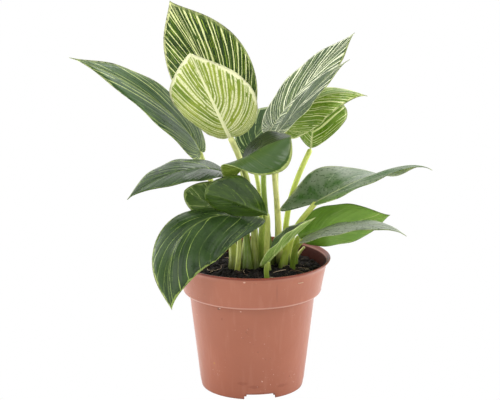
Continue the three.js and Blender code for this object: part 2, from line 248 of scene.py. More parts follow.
potter = bmesh.new()
rings = []
for turn in range(POT_TURNS):
    rings.append([potter.verts.new(turned_point(*spot, turn, POT_TURNS)) for spot in POT_SECTION])
for turn in range(POT_TURNS):
    here, there = rings[turn], rings[(turn + 1) % POT_TURNS]
    for k in range(len(POT_SECTION) - 1):
        potter.faces.new((here[k], there[k], there[k + 1], here[k + 1]))
potter.faces.new([ring[0] for ring in reversed(rings)])
potter.faces.new([ring[-1] for ring in rings])
bmesh.ops.recalc_face_normals(potter, faces=potter.faces)
for face in potter.faces:
    face.smooth = len(face.verts) == 4
pot = put("pot_moulding", mesh_of("pot_moulding", potter))


def pot_cutter(name, shape, place, turn):
    """Moves a shape to its place, turns it round the pot's axis and cuts it out of the pot."""
    bmesh.ops.transform(shape, matrix=Matrix.Translation(place), verts=shape.verts)
    bmesh.ops.transform(shape, matrix=Matrix.Rotation(turn, 4, "Z"), verts=shape.verts)
    cut = pot.modifiers.new(name, "BOOLEAN")
    cut.object = put(name, mesh_of(name, shape))
    cut.operation = "DIFFERENCE"
    cut.solver = "EXACT"
    return cut.object


cutters = []
for k in range(NOTCHES):
    block = bmesh.new()
    bmesh.ops.create_cube(block, size=1)
    bmesh.ops.scale(block, vec=NOTCH_SIZE, verts=block.verts)
    # Only the corners that run through the foot ring are rounded.
    through = [e for e in block.edges if abs(e.verts[0].co.y - e.verts[1].co.y) > NOTCH_SIZE[1] / 2]
    bmesh.ops.bevel(block, geom=through, offset=NOTCH_ROUNDING, segments=4, affect="EDGES")
    turn = math.radians(FIRST_NOTCH + 360 / NOTCHES * k)
    cutters.append(pot_cutter(f"notch_{k}", block, NOTCH_PLACE, turn))
# The first drain hole is in the middle of the plate, and the others stand round it.
for k in range(DRAINS_IN_RING + 1):
    rod = bmesh.new()
    bmesh.ops.create_cone(rod, cap_ends=True, segments=32, radius1=DRAIN_RADIUS,
                          radius2=DRAIN_RADIUS, depth=DRAIN_DEPTH)
    out = 0 if k == 0 else DRAIN_RING
    turn = 2 * math.pi * k / DRAINS_IN_RING
    cutters.append(pot_cutter(f"drain_{k}", rod, (out, 0, PLATE_HEIGHT), turn))
graph = bpy.context.evaluated_depsgraph_get()
pot_cut = bpy.data.meshes.new_from_object(pot.evaluated_get(graph))
pot.modifiers.clear()
pot.data = pot_cut
for cutter in cutters:
    bpy.data.objects.remove(cutter)


def triple(tree, x, y, z):
    return node(tree, "ShaderNodeCombineXYZ", enumerate((x, y, z)))


def noise(tree, where, scale, detail=2.0, roughness=0.5):
    return node(tree, "ShaderNodeTexNoise", {
        "Vector": where, "Scale": scale, "Detail": detail, "Roughness": roughness,
    })


def blend(tree, share, first, second):
    """Goes from the first colour to the second as share goes from 0 to 1. The node has sockets of
    the same name for each kind of value, so the colour's are told by their place."""
    inputs = {0: share, 6: first, 7: second}
    return node(tree, "ShaderNodeMix", inputs, data_type="RGBA").output(2)


def object_place(tree):
    return node(tree, "ShaderNodeTexCoord").output("Object")


def relief(tree, height, depth):
    return node(tree, "ShaderNodeBump", {"Strength": 1.0, "Distance": depth, "Height": height})


pot_plastic, tree = new_finish("pot_plastic")
place = object_place(tree)
spot = node(tree, "ShaderNodeSeparateXYZ", {0: place})
across = spot.output("X") * IN_MM
level = spot.output("Z") * IN_MM
radius = place.vector("MULTIPLY", (IN_MM, IN_MM, 0.0)).vector("LENGTH").output("Value")
cloud = noise(tree, place, 22, 3)
streak = noise(tree, place.vector("MULTIPLY", (260, 260, 14)), 1, 2)
patch = noise(tree, place, 34, 2).ramp(0.5, 0.66)
speck = noise(tree, place, 420, 1).ramp(0.71, 0.75) * patch
pale_crumb = noise(tree, place.vector("ADD", (3.1, 1.7, 0.4)), 900, 0).ramp(0.78, 0.82) * patch
colour = blend(tree, cloud.ramp(0.35, 0.65), (0.315, 0.098, 0.05), (0.34, 0.11, 0.058))
# Painted shade: the lower part of the pot is made a little darker.
colour = blend(tree, (1.0 - level.ramp(0.0, 60.0)) * 0.6, colour, (0.31, 0.096, 0.05))
colour = blend(tree, streak.ramp(0.52, 0.72) * 0.08, colour, (0.55, 0.27, 0.19))
# Painted highlight: a thin light line round the pot just under the band, where its rounded edge catches
# the light.
painted_highlight_line = level.ramp(75.4, 75.9) * (1.0 - level.ramp(76.6, 77.3)) * radius.ramp(51.6, 52.2)
colour = blend(tree, painted_highlight_line * 0.3, colour, (0.85, 0.55, 0.46))
lip = level.ramp(99.8, 100.5) * radius.ramp(57.0, 57.8)
colour = blend(tree, lip * 0.85, colour, (0.17, 0.028, 0.012))
# Painted shade: the inner wall below the lip, which lies in shade, is made nearly black, darker below the
# top of the lip. The same mask makes the inner wall rougher and less shiny.
past_wall = radius - (level - 78.6) * 0.208 - 52.6
shaded_inside = level.ramp(77.0, 79.0) * (1.0 - past_wall.ramp(-0.35, 0.25))
colour = blend(tree, shaded_inside * level.ramp(101.9, 99.0, 0.5, 1.0), colour, (0.05, 0.01, 0.006))
colour = blend(tree, speck * 0.75, colour, (0.16, 0.06, 0.035))
colour = blend(tree, pale_crumb * 0.6, colour, (0.75, 0.52, 0.42))
# Chips, stuck crumbs and rubbed smudges on the front: place across and up, size across and up,
# how strong, and the colour.
POT_MARKS = [
    (-43.4, 74.7, 0.7, 0.9, 0.9, (0.05, 0.02, 0.012)), (-25.0, 72.8, 1.3, 0.9, 0.8, (0.14, 0.05, 0.03)),
    (-24.2, 73.4, 0.9, 0.5, 0.8, (0.7, 0.5, 0.4)), (-22.7, 64.9, 0.8, 1.2, 0.5, (0.2, 0.05, 0.025)),
    (-28.8, 26.6, 0.8, 1.1, 0.8, (0.4, 0.17, 0.03)), (44.8, 39.3, 0.6, 1.7, 0.95, (0.035, 0.02, 0.018)),
    (-8.6, 72.6, 1.0, 0.7, 0.7, (0.7, 0.45, 0.35)), (-5.8, 98.4, 0.9, 0.7, 0.7, (0.7, 0.5, 0.4)),
    (18.4, 88.5, 0.8, 7.5, 0.3, (0.16, 0.05, 0.03)), (-7.0, 13.4, 5.0, 1.8, 0.4, (0.2, 0.045, 0.02)),
    (2.1, 10.8, 5.5, 1.6, 0.4, (0.2, 0.045, 0.02)), (22.9, 9.6, 4.0, 1.5, 0.4, (0.2, 0.045, 0.02)),
]
in_front = spot.output("Y").math("LESS_THAN", 0.0)
ragged = (noise(tree, place, 350, 2) - 0.5) * 1.2
for mark_x, mark_z, wide, high, strength, mark_colour in POT_MARKS:
    aside = (across - mark_x) / wide
    above = (level - mark_z) / high
    away = (aside * aside + above * above).math("SQRT") + ragged
    colour = blend(tree, (1.0 - away.ramp(0.5, 1.1)) * in_front * strength, colour, mark_colour)
coat(tree, {
    "Base Color": colour,
    "Roughness": cloud.ramp(0.3, 0.7, 0.3, 0.38) + speck * 0.3 + shaded_inside * 0.4,
    "Specular IOR Level": 0.5 - shaded_inside * 0.4 - lip * 0.2,
    "Normal": relief(tree, noise(tree, place, 160, 2) + speck * 1.5, 0.00018),
})
pot.data.materials.clear()
pot.data.materials.append(pot_plastic)
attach(pot, "root")
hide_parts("pot")

# The potting mix: dark damp peat that fills the pot, mounded a little towards the stems, with
# loose crumbs and pale root and coir fibres lying on it.
SOIL_SECTION = [
    (38.4, 6.7), (46.2, 76.4), (46.6, 77.1), (50.9, 78.0), (51.3, 78.9), (54.0, 91.2),
]
SOIL_MOUND = 2.4
SOIL_RINGS = 44
SOIL_TURNS = 176
LUMPS_START = 0.0908
LUMPS_FULL = 0.0914
STREWN_ABOVE = 0.0907
STREWN_WITHIN = 0.0512
FULL_TURN = 6.283
edge_radius, edge_height = SOIL_SECTION[-1]
layers = list(SOIL_SECTION)
for step in range(1, SOIL_RINGS):
    share = step / SOIL_RINGS
    rise = SOIL_MOUND * math.sin(share * math.pi / 2)
    layers.append((edge_radius * (1 - share), edge_height + rise))
digger = bmesh.new()
rings = []
for layer in layers:
    rings.append([digger.verts.new(turned_point(*layer, turn, SOIL_TURNS)) for turn in range(SOIL_TURNS)])
for below, above in zip(rings, rings[1:]):
    for k in range(SOIL_TURNS):
        n = (k + 1) % SOIL_TURNS
        digger.faces.new((below[k], below[n], above[n], above[k]))
digger.faces.new(list(reversed(rings[0])))
crown = digger.verts.new((0, 0, (edge_height + SOIL_MOUND) * MM))
for k in range(SOIL_TURNS):
    digger.faces.new((rings[-1][k], rings[-1][(k + 1) % SOIL_TURNS], crown))


def new_tree(name, inputs, outputs, kind="GeometryNodeTree"):
    """A tree with named inputs, each given as a socket's kind or as the number it starts at."""
    tree = bpy.data.node_groups.new(name, kind)
    for label, start in inputs.items():
        form = start if isinstance(start, str) else {int: "Int", float: "Float"}[type(start)]
        socket = tree.interface.new_socket(label, in_out="INPUT", socket_type=f"NodeSocket{form}")
        if form != start:
            socket.default_value = start
    for label, form in outputs.items():
        tree.interface.new_socket(label, in_out="OUTPUT", socket_type=f"NodeSocket{form}")
    entry = tree.nodes.new("NodeGroupInput")
    return tree, {s.name: Term(tree, s) for s in entry.outputs if s.name}


def hand_out(tree, results):
    leave = tree.nodes.new("NodeGroupOutput")
    for label, value in results.items():
        feed(leave.inputs[label], value)


def paint(geometry, material):
    inputs = {"Geometry": geometry, "Material": material}
    return node(geometry.tree, "GeometryNodeSetMaterial", inputs)


def make_real(geometry):
    return node(geometry.tree, "GeometryNodeRealizeInstances", {0: geometry})


def grow(name, tree, values, base=None):
    """Runs a tree with these values for its inputs, and gives the result as a plain mesh object."""
    obj = put(name, base or bpy.data.meshes.new(name + "_seed"))
    modifier = obj.modifiers.new("grow", "NODES")
    modifier.node_group = tree
    sockets = {s.name: s.identifier for s in tree.interface.items_tree if s.in_out == "INPUT"}
    for label, value in values.items():
        modifier[sockets[label]] = value
    obj.update_tag()
    graph = bpy.context.evaluated_depsgraph_get()
    mesh = bpy.data.meshes.new_from_object(obj.evaluated_get(graph))
    obj.modifiers.clear()
    obj.data = mesh
    mesh.name = name
    return obj


mix_tree, given = new_tree("potting_mix", {
    "Geometry": "Geometry", "Lump height": 0.0022, "Crumb density": 200000.0,
    "Fibre density": 9000.0, "Seed": 7, "Mix": "Material", "Fibre": "Material",
}, {"Geometry": "Geometry"})
where = node(mix_tree, "GeometryNodeInputPosition")
height_here = node(mix_tree, "ShaderNodeSeparateXYZ", {0: where}).output("Z")
from_axis = where.vector("MULTIPLY", (1.0, 1.0, 0.0)).vector("LENGTH").output("Value")
lumps = (noise(mix_tree, where, 95, 4, 0.62) - 0.5) * given["Lump height"]
push = triple(mix_tree, 0.0, 0.0, lumps * height_here.ramp(LUMPS_START, LUMPS_FULL) * 2.6)
inputs = {"Geometry": given["Geometry"], "Offset": push}
lumpy = node(mix_tree, "GeometryNodeSetPosition", inputs)
on_top = height_here.math("GREATER_THAN", STREWN_ABOVE) * from_axis.math("LESS_THAN", STREWN_WITHIN)


def scatter(density, seed, shape, smallest, largest, tip):
    """Strews copies of a shape on the mix, each turned any way round and tipped up to tip."""
    points = node(mix_tree, "GeometryNodeDistributePointsOnFaces", {
        "Mesh": lumpy, "Selection": on_top, "Density": density, "Seed": seed,
    })
    inputs = {2: smallest, 3: largest, "Seed": seed}
    size = node(mix_tree, "FunctionNodeRandomValue", inputs, data_type="FLOAT").output(1)
    inputs = {0: (-tip, -tip, 0), 1: (tip, tip, FULL_TURN), "Seed": seed}
    turn = node(mix_tree, "FunctionNodeRandomValue", inputs, data_type="FLOAT_VECTOR")
    return node(mix_tree, "GeometryNodeInstanceOnPoints", {
        "Points": points, "Instance": shape, "Rotation": turn, "Scale": size ** 2.0,
    })


ball = node(mix_tree, "GeometryNodeMeshIcoSphere", {"Radius": 1.0, "Subdivisions": 2})
dents = where.vector("SCALE", (noise(mix_tree, where, 1.1, 2) - 0.5) * 1.5)
crumb = node(mix_tree, "GeometryNodeSetPosition", {"Geometry": ball, "Offset": dents})
crumbs = scatter(given["Crumb density"], given["Seed"], crumb, 0.016, 0.054, 3.1)
hair_line = node(mix_tree, "GeometryNodeCurvePrimitiveBezierSegment", {
    "Resolution": 7, "Start": (-3.6, 0, 0), "Start Handle": (-1.4, 2.6, 1.1),
    "End Handle": (1.6, -2.2, 0.9), "End": (3.4, 1.0, 0.1),
})
hair_ring = node(mix_tree, "GeometryNodeCurvePrimitiveCircle", {"Resolution": 4, "Radius": 0.11})
hair = node(mix_tree, "GeometryNodeCurveToMesh", {
    "Curve": hair_line, "Profile Curve": hair_ring, "Fill Caps": True,
})
fibres = scatter(given["Fibre density"], given["Seed"] + 5.0, hair, 0.028, 0.052, 0.5)
together = node(mix_tree, "GeometryNodeJoinGeometry")
for layer, material in ((fibres, "Fibre"), (crumbs, "Mix"), (lumpy, "Mix")):
    feed(together.socket.node.inputs[0], paint(layer, given[material]))
hand_out(mix_tree, {"Geometry": make_real(together)})

peat, tree = new_finish("potting_mix")
place = object_place(tree)
grain = noise(tree, place, 700, 3, 0.7)
clump = noise(tree, place, 110, 3).ramp(0.55, 0.68)
colour = blend(tree, grain.ramp(0.35, 0.7), (0.004, 0.003, 0.003), (0.024, 0.019, 0.017))
coat(tree, {
    "Base Color": blend(tree, clump * 0.6, colour, (0.075, 0.05, 0.038)),
    "Roughness": 0.9, "Specular IOR Level": 0.25, "Normal": relief(tree, grain, 0.0009),
})
coir, tree = new_finish("coir_fibre")
age = noise(tree, object_place(tree), 90, 1).ramp(0.35, 0.65)
coat(tree, {
    "Base Color": blend(tree, age, (0.2, 0.11, 0.07), (0.6, 0.47, 0.33)),
    "Roughness": 0.8,
})
soil = grow("potting_mix", mix_tree, {"Mix": peat, "Fibre": coir}, mesh_of("soil_plug", digger))
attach(soil, "root")
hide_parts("soil")

# The blades: thin waxy leaves, each grown on the end of its own stalk and folded along a curved,
# swollen midrib. Each side vein leaves the midrib at a slant and bends towards the tip, and the
# cream stripes follow the side veins.
COLUMN_SPREAD = 1.6
LOBE_REACH = 0.35
BOW_REACH = 0.3
LEAST_CURL = 0.004
WAVE_SHIFT = 1.7
EDGE_ROUNDING = 10.0
RIB_FALL = 0.55
GUTTER_FALL = 1.6
blade_inputs = {
    "Base": "Vector", "Base handle": "Vector", "Tip handle": "Vector", "Tip": "Vector",
    "Upper at base": "Vector", "Upper at tip": "Vector",
    "Drawn tip": "Float", "Vein run": "Float", "Vein bow": "Float", "Wave start": "Float",
    "Half thickness": 0.00026, "Rib height": 0.0012, "Gutter depth": 0.00022,
    "Wave height": 0.0007, "Waves": 3.0, "Weld distance": 0.000004,
    "Rows": 73, "Columns": 81, "Finish": "Material",
}
for trait in ("width", "fold at base", "fold at tip", "curl at base", "curl at tip", "lobe",
              "blunt", "point", "skew"):
    blade_inputs[f"Left {trait}"] = "Float"
    blade_inputs[f"Right {trait}"] = "Float"
tree, given = new_tree("leaf_blade", blade_inputs, {"Geometry": "Geometry"})
blade_tree = tree
sheet = node(tree, "GeometryNodeMeshGrid", {
    "Size X": 1, "Size Y": 1, "Vertices X": given["Columns"], "Vertices Y": given["Rows"],
})
# The sheet is wrapped into a closed shell: round it goes the upper skin and then the lower one.
# t says which side vein a point is on, and r how far it is along that vein to the margin.
spot = node(tree, "ShaderNodeSeparateXYZ", {0: node(tree, "GeometryNodeInputPosition")})
around = (spot.output("X") + 0.5) * 4.0
t = (spot.output("Y") + 0.5).math("MINIMUM", 1.0).math("MAXIMUM", 0.0)
q = 1.0 - (around - 2.0).math("ABSOLUTE")
upper_skin = around.math("LESS_THAN", 2.0)
on_right = q.math("GREATER_THAN", 0.0)
side_sign = on_right * 2.0 - 1.0
r = q.math("ABSOLUTE") ** COLUMN_SPREAD


def of_side(trait):
    left, right = given[f"Left {trait}"], given[f"Right {trait}"]
    return left + (right - left) * on_right


def bent_line(tree, points, resolution):
    """A curve from the first point to the last, bent by the two handles between them."""
    inputs = dict(zip(("Start", "Start Handle", "End Handle", "End"), points))
    inputs["Resolution"] = resolution
    return node(tree, "GeometryNodeCurvePrimitiveBezierSegment", inputs)


midrib = bent_line(tree, [given[s] for s in ("Base", "Base handle", "Tip handle", "Tip")], 96)
length = node(tree, "GeometryNodeCurveLength", {0: midrib})
# Along and across the flat leaf: where each side vein ends on the outline, where it starts on
# the midrib, and its bow in between.
sine = (t * math.pi).math("SINE").math("MAXIMUM", 0.0)
across = sine ** (of_side("blunt") + (of_side("point") - of_side("blunt")) * t)
across = across * (1.0 - given["Drawn tip"] * t.ramp(0.7, 0.95))
rise = ((1.0 - (t * math.pi).math("COSINE")) * 0.5) ** of_side("skew")
lobe = of_side("lobe")
back = (1.0 - across / LOBE_REACH).math("MAXIMUM", 0.0) ** 2.0 * lobe * t.math("LESS_THAN", 0.5)
end_x = ((lobe + 1.0) * rise - lobe + back) * length
end_y = across * of_side("width")
start_x = length * t ** given["Vein run"]
chord = ((end_x - start_x) ** 2.0 + end_y ** 2.0).math("SQRT")
bow = (t / BOW_REACH).math("MINIMUM", 1.0) * chord * given["Vein bow"]
mid_x = (start_x + end_x) * 0.5 - bow
rest = 1.0 - r
x = rest * rest * start_x + rest * r * mid_x * 2.0 + r * r * end_x
y = r * end_y

# The flat leaf is laid along the midrib's curve, folded at the midrib, curled and waved. The
# width is divided by the curl, so a leaf that has no curl is given a very small one.
u = (x / length).math("MAXIMUM", 0.0).math("MINIMUM", 1.0)
at_rib = node(tree, "GeometryNodeSampleCurve", {"Curves": midrib, "Factor": u}, mode="FACTOR")
tangent = at_rib.output("Tangent").vector("NORMALIZE")
behind_base = tangent.vector("SCALE", x.math("MINIMUM", 0.0))
centre = at_rib.output("Position").vector("ADD", behind_base)
upward = given["Upper at base"].vector("SCALE", 1.0 - u)
upward = upward.vector("ADD", given["Upper at tip"].vector("SCALE", u))
tilt = upward.vector("DOT_PRODUCT", tangent).output("Value")
upward = upward.vector("SUBTRACT", tangent.vector("SCALE", tilt)).vector("NORMALIZE")
sideways = tangent.vector("CROSS_PRODUCT", upward).vector("SCALE", side_sign)
width = of_side("width")
fold = of_side("fold at base") * (1.0 - u) + of_side("fold at tip") * u
curl = of_side("curl at base") * (1.0 - u) + of_side("curl at tip") * u + LEAST_CURL
turned = fold + curl * y / width
reach_out = width / curl * (turned.math("SINE") - fold.math("SINE"))
phase = u * given["Waves"] * (2 * math.pi) + given["Wave start"] + on_right * WAVE_SHIFT
ripple = given["Wave height"] * (y / width) ** 2.0 * phase.math("SINE")
lift = width / curl * (fold.math("COSINE") - turned.math("COSINE")) + ripple
outward = upward.vector("SCALE", turned.math("COSINE"))
outward = outward.vector("SUBTRACT", sideways.vector("SCALE", turned.math("SINE")))
edge_round = (1.0 - r ** EDGE_ROUNDING).math("MAXIMUM", 0.0).math("SQRT")
y_mm = y * IN_MM
rib_bulge = (y_mm * y_mm * -RIB_FALL).math("EXPONENT") * given["Rib height"] * (1.12 - u) * edge_round
gutter = (y_mm * y_mm * -GUTTER_FALL).math("EXPONENT") * given["Gutter depth"]
half = given["Half thickness"] * edge_round
offset_down = (half + rib_bulge) * -1.0
offset = offset_down + (half - gutter - offset_down) * upper_skin
final = centre.vector("ADD", sideways.vector("SCALE", reach_out))
final = final.vector("ADD", upward.vector("SCALE", lift))
final = final.vector("ADD", outward.vector("SCALE", offset))


def keep(geometry, label, value, kind="FLOAT"):
    """Stores a value on the points, for the finish to read."""
    inputs = {"Geometry": geometry, "Name": label, "Value": value}
    return node(geometry.tree, "GeometryNodeStoreNamedAttribute", inputs, data_type=kind, domain="POINT")


def finish_shape(shape, material):
    """Ends a tree: smooth shading, plain mesh, one material."""
    smooth = node(shape.tree, "GeometryNodeSetShadeSmooth", {0: shape})
    hand_out(shape.tree, {"Geometry": paint(make_real(smooth), material)})


shell = keep(sheet, "vein", t)
shell = keep(shell, "reach", r * side_sign)
shell = keep(shell, "upper", upper_skin)
shell = keep(shell, "spread", triple(tree, x, y * side_sign, 0.0), "FLOAT_VECTOR")
shell = keep(shell, "margin", (1.0 - r) * chord * IN_MM)
shell = keep(shell, "rib", y_mm / ((1.0 - u) * 1.5 + 0.45))
shell = node(tree, "GeometryNodeSetPosition", {"Geometry": shell, "Position": final})
inputs = {"Geometry": shell, "Distance": given["Weld distance"]}
finish_shape(node(tree, "GeometryNodeMergeByDistance", inputs), given["Finish"])

# Shader group: streaks that run along the side veins, as a mask. Each lane between two side
# veins has a streak of its own width and place, which swells, thins out and breaks along its way.
streaks, want = new_tree("vein_streaks", dict.fromkeys(
    ("Lanes", "Widest", "Thinnest", "Softness", "Share", "Breaks", "Run", "Seed"), "Float",
), {"Streak": "Float", "Ridge": "Float"}, "ShaderNodeTree")


def surface(tree, label, output="Fac"):
    return node(tree, "ShaderNodeAttribute", attribute_name=label).output(output)


def chance_of(number, seed):
    """A random number from 0 to 1 for each lane."""
    inputs = {"Vector": triple(streaks, number, seed, 0.0)}
    return node(streaks, "ShaderNodeTexWhiteNoise", inputs, noise_dimensions="2D").output("Value")


def wander(x, y, z, detail=1):
    return noise(streaks, triple(streaks, x, y, z), 1.0, detail)


seed = want["Seed"]
vein = surface(streaks, "vein")
reach = surface(streaks, "reach")
right = reach.math("GREATER_THAN", 0.0)
far = reach.math("ABSOLUTE")
drift = wander(vein * 6.0, far * 1.8 + seed, right * 9.0) - 0.5
tremble = wander(vein * 60.0, far * 9.0 + seed, right * 5.0) - 0.5
lane = (vein + drift * 0.05 + tremble * 0.006) * want["Lanes"] + seed + right * 31.3
number = lane.math("FLOOR")
width_chance = chance_of(number, seed)
place_chance = chance_of(number, seed + 5.0)
aside = lane.math("FRACT") - 0.5 - (place_chance - 0.5) * 0.5
from_middle = aside.math("ABSOLUTE") * 2.0
swell = wander(number * 7.7, far * want["Run"], seed * 3.0)
half = want["Widest"] * width_chance ** 2.0 + want["Thinnest"]
half = half * swell.ramp(0.3, 0.7, 0.45, 1.4) * width_chance.math("GREATER_THAN", 1.0 - want["Share"])
gap = wander(number * 3.9, far * want["Run"] * 3.0, seed * 5.0, 0)
half = half * gap.ramp(want["Breaks"] - 0.05, want["Breaks"] + 0.05)
streak = 1.0 - from_middle.ramp(half, half + want["Softness"])
hand_out(streaks, {"Streak": streak * half.ramp(0.01, 0.05), "Ridge": from_middle})

# Shader group: the colour of one skin of a leaf. Each share lays its colour over what is there:
# mottled green first, then the streaks, the cream margin, the water drops and the midrib.
leaf_skin, layer = new_tree("leaf_skin", {
    **dict.fromkeys(("Deep", "Mid", "Fine", "Cream", "Tint"), "Color"),
    **dict.fromkeys(("Mottling", "Dashes", "Narrow", "Tinted", "Broad", "Dusk", "Rim", "Drops",
                     "Rib"), "Float"),
}, {"Colour": "Color"}, "ShaderNodeTree")
colour = blend(leaf_skin, layer["Mottling"], layer["Deep"], layer["Mid"])
for share, laid_over in (
    ("Dashes", layer["Fine"]), ("Narrow", layer["Fine"]), ("Tinted", layer["Tint"]),
    ("Broad", layer["Cream"]), ("Dusk", layer["Deep"]), ("Rim", layer["Cream"]),
    ("Drops", layer["Deep"].vector("SCALE", 0.5)), ("Rib", layer["Cream"]),
):
    colour = blend(leaf_skin, layer[share], colour, laid_over)
hand_out(leaf_skin, {"Colour": colour})


def leaf_finish(name, upper, lower, cream, fine, seed, lanes=24, widest=0.4, thinnest=0.07,
                soft=0.09, breaks=0.3, rim=0.5, rim_wide=1.0, rib=0.6, keel=1.0, gloss=0.3,
                dusk=0.0, near=None, drops=0.0, whole=0.75):
    """upper and lower are the deep, mid, fine-streak and cream colours of the two skins, cream
    and fine how many lanes have a streak. dusk darkens the outer half, near is a colour of the
    right half, how much of it and how far along it reaches, drops is how far dark water drops
    show, whole is how solid the streaks are."""
    material, tree = new_finish(name + "_leaf")

    def along_veins(count, wide, thin, blur, share, cuts, run, start):
        return node(tree, "ShaderNodeGroup", {
            "Lanes": count, "Widest": wide, "Thinnest": thin, "Softness": blur,
            "Share": share, "Breaks": cuts, "Run": run, "Seed": start,
        }, node_tree=streaks)

    broad = along_veins(lanes, widest, thinnest, soft, cream, breaks, 2.2, seed)
    narrow = along_veins(lanes * 2.1, 0.25, 0.07, 0.09, fine, 0.42, 4.0, seed + 3.1)
    dashes = along_veins(lanes * 3.7, 0.5, 0.07, 0.09, fine, 0.5, 9.0, seed + 7.7)
    outer = surface(tree, "vein")
    half_blade = surface(tree, "reach")
    spread = surface(tree, "spread", "Vector")
    top = surface(tree, "upper").ramp(0.45, 0.55)
    rib_share = surface(tree, "rib")
    tone = noise(tree, triple(tree, outer * 14.0, half_blade * 2.0, seed), 1.0, 2)
    mottle = noise(tree, spread.vector("ADD", (seed, 0.0, 0.0)), 55, 3)
    flecks = noise(tree, spread.vector("ADD", (0.0, seed, 0.0)), 1100, 2)
    edge_wander = noise(tree, spread.vector("ADD", (0.0, 0.0, seed)), 150, 2).ramp(0.3, 0.7, 0.4, 1.3)
    beads = noise(tree, spread.vector("ADD", (seed, seed, 0.0)), 620, 0).ramp(0.62, 0.68) * drops
    from_edge = surface(tree, "margin") / edge_wander
    rim_mask = 1.0 - from_edge.ramp(1.2 * rim_wide, 1.9 * rim_wide)
    rib_line = 1.0 - (rib_share / keel).ramp(0.75, 1.05)
    rib_thin = 1.0 - rib_share.ramp(0.3, 0.55)
    shares = {
        "Mottling": mottle.ramp(0.35, 0.65) * 0.5 + tone.ramp(0.35, 0.65) * 0.5,
        "Dashes": dashes * flecks.ramp(0.35, 0.6) * 0.7, "Narrow": narrow * 0.8,
        "Broad": broad * flecks.ramp(0.3, 0.6, whole, 1.0), "Dusk": outer.ramp(0.3, 0.62) * dusk,
        "Rim": rim_mask * rim, "Drops": beads,
    }

    def skin(colours, more_shares):
        inputs = {**dict(zip(("Deep", "Mid", "Fine", "Cream"), colours)), **shares, **more_shares}
        return node(tree, "ShaderNodeGroup", inputs, node_tree=leaf_skin)

    upper_shares = {"Rib": rib_thin * (rib * 0.7)}
    if near:
        tint, amount, until = near
        near_share = half_blade.ramp(-0.02, 0.02) * (1.0 - outer.ramp(until, until + 0.3))
        upper_shares.update({"Tint": tint, "Tinted": near_share * amount})
    over = skin(upper, upper_shares)
    under = skin(lower, {"Rib": rib_line * rib})
    ridges = broad.output("Ridge").ramp(0.0, 1.0) * 0.5 + narrow.output("Ridge").ramp(0.0, 1.0) * 0.3
    coat(tree, {
        "Base Color": blend(tree, top, under, over),
        "Roughness": mottle.ramp(0.3, 0.7, gloss - 0.04, gloss + 0.06) + (1.0 - top) * 0.14,
        "Specular IOR Level": 0.34,
        "Normal": relief(tree, ridges + mottle * 0.6, 0.0002),
    })
    return material


# Leaf colours: deep green, mid green, fine streaks and cream, for the two skins.
DARK = ((0.014, 0.034, 0.007), (0.034, 0.072, 0.014), (0.13, 0.21, 0.04), (0.34, 0.46, 0.1))
RICH = ((0.012, 0.034, 0.002), (0.03, 0.075, 0.003), (0.3, 0.43, 0.04), (0.88, 0.92, 0.42))
LONG = ((0.026, 0.07, 0.014), (0.06, 0.12, 0.028), (0.22, 0.34, 0.07), (0.62, 0.72, 0.26))
MID = ((0.06, 0.12, 0.02), (0.12, 0.2, 0.04), (0.18, 0.28, 0.07), (0.4, 0.5, 0.16))
BLUE = ((0.05, 0.1, 0.045), (0.09, 0.15, 0.07), (0.2, 0.3, 0.11), (0.55, 0.66, 0.3))
FRESH = ((0.1, 0.2, 0.012), (0.19, 0.31, 0.026), (0.42, 0.53, 0.11), (0.82, 0.85, 0.42))
# GREEN_AND_SHEEN is the leaf's own deep green under a painted sheen: its grey mid tones stand for the
# white reflection on a glossy upper side.
GREEN_AND_SHEEN = ((0.045, 0.12, 0.02), (0.2, 0.245, 0.16), (0.32, 0.37, 0.23), (0.58, 0.65, 0.32))
GREY = ((0.03, 0.06, 0.018), (0.06, 0.105, 0.032), (0.3, 0.38, 0.14), (0.85, 0.88, 0.6))
# SHADE is painted shade: the near-black green given to the far half of the centre arched leaf, which lies
# in shade.
SHADE = ((0.009, 0.02, 0.005), (0.018, 0.038, 0.008), (0.03, 0.05, 0.01), (0.1, 0.14, 0.03))
# PALE_SHEEN is pale green with a painted sheen: its grey-green tones stand for the white reflection on a
# glossy upper side.
PALE_SHEEN = ((0.17, 0.21, 0.14), (0.3, 0.34, 0.25), (0.4, 0.45, 0.33), (0.62, 0.68, 0.45))
LIME = ((0.11, 0.19, 0.004), (0.27, 0.34, 0.025), (0.5, 0.56, 0.14), (0.76, 0.77, 0.44))
UNDER = ((0.07, 0.13, 0.018), (0.11, 0.18, 0.028), (0.22, 0.29, 0.06), (0.45, 0.52, 0.18))
UNDER_DARK = ((0.016, 0.04, 0.004), (0.05, 0.1, 0.008), (0.11, 0.18, 0.02), (0.26, 0.36, 0.07))
UNDER_PALE = ((0.12, 0.2, 0.03), (0.2, 0.31, 0.06), (0.3, 0.4, 0.12), (0.5, 0.58, 0.24))
UNDER_LIME = ((0.14, 0.22, 0.02), (0.24, 0.34, 0.04), (0.4, 0.5, 0.1), (0.6, 0.68, 0.24))
UNDER_PLAIN = ((0.11, 0.24, 0.018), (0.17, 0.32, 0.03), (0.2, 0.33, 0.05), (0.34, 0.43, 0.12))

